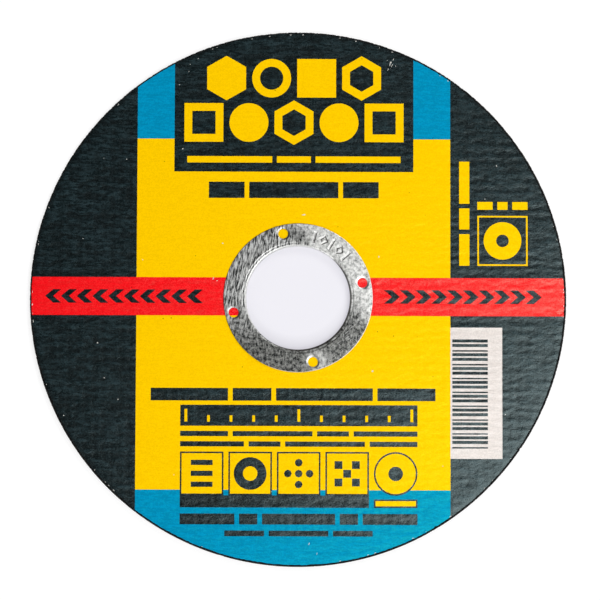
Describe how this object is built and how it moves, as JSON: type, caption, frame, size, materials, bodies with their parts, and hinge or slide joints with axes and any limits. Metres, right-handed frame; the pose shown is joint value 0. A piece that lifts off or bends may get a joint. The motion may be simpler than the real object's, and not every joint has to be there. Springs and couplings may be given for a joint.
{
  "type": "cut-off wheel",
  "caption": "Thin flat cut-off wheel with a steel ring in its bore, glass cloth on both faces and a plain printed label.",
  "frame": {"origin": "on the axis of the bore, in the plane of the back", "axes": "+Z along the bore, out of the printed face; +Y towards the top of the print; +X to its right"},
  "size_m": [0.115, 0.115, 0.0015],
  "materials": {
    "abrasive": "rough black resin-bonded grain",
    "glass_cloth": "resin-soaked dark woven glass",
    "black_print": "satin black print on pressed paper",
    "yellow_print": "satin yellow print",
    "blue_print": "satin blue print",
    "red_print": "satin red print",
    "white_print": "satin white print",
    "ring_steel": "tinned steel, scratched"
  },
  "bodies": {
    "root": {"abrasive_disc": "abrasive", "front_cloth": "glass_cloth", "back_cloth": "glass_cloth", "label_sheet": "black_print", "yellow_print": "yellow_print", "blue_print": "blue_print", "red_print": "red_print", "white_print": "white_print", "centre_ring": "ring_steel"}
  },
  "joints": []
}
